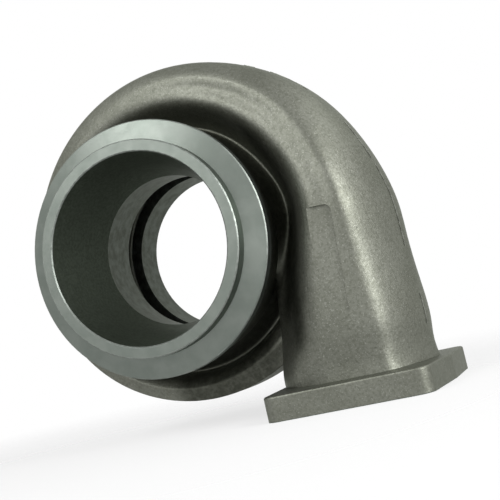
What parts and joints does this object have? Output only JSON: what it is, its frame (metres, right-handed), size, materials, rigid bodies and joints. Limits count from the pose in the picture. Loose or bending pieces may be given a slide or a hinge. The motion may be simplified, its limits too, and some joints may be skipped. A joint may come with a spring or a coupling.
{
  "type": "turbocharger turbine housing",
  "caption": "Cast volute housing of a twin-entry turbocharger turbine, with a divided inlet flange, a turned outlet end and a bolted bearing-housing end.",
  "frame": {"origin": "centre of the outlet face, on the turbine axis", "axes": "+Y along the turbine axis from the outlet face towards the bearing housing, -Z out of the inlet flange, +X from the turbine axis towards the inlet"},
  "size_m": [0.2453, 0.135, 0.2202],
  "materials": {
    "cast_iron": "shot-blasted sand casting with machined outlet and bearing-housing ends"
  },
  "bodies": {
    "root": {"turbine_housing": "cast_iron"}
  },
  "joints": []
}
